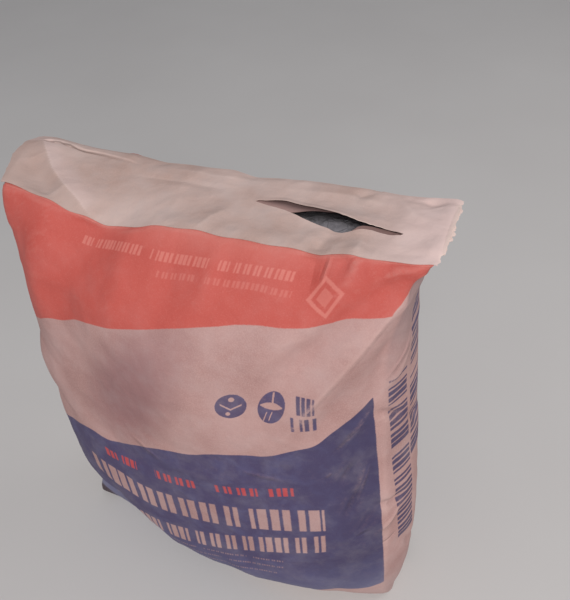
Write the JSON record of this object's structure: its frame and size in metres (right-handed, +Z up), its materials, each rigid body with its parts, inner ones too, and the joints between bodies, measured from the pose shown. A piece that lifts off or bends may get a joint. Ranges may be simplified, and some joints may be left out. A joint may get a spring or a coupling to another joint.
{
  "type": "cement bag",
  "caption": "Filled block-bottom paper valve sack of cement standing on its end, with a knife slit across its top end.",
  "frame": {"origin": "centre of the flat bottom cover patch that the sack stands on", "axes": "+Z up, from the lower end to the slit end; the front of the sack faces -Y, and its long ends run along X"},
  "size_m": [0.4321, 0.2222, 0.4714],
  "materials": {
    "printed_kraft_paper": "creased matt kraft paper, printed in faded orange red and navy",
    "kraft_paper": "creased matt kraft paper",
    "cement_powder": "dull fine grey powder"
  },
  "bodies": {
    "root": {"paper_sack": "printed_kraft_paper", "cement_fill": "cement_powder", "top_cover_patch": "kraft_paper", "valve_sleeve": "kraft_paper", "bottom_cover_patch": "kraft_paper"}
  },
  "joints": []
}
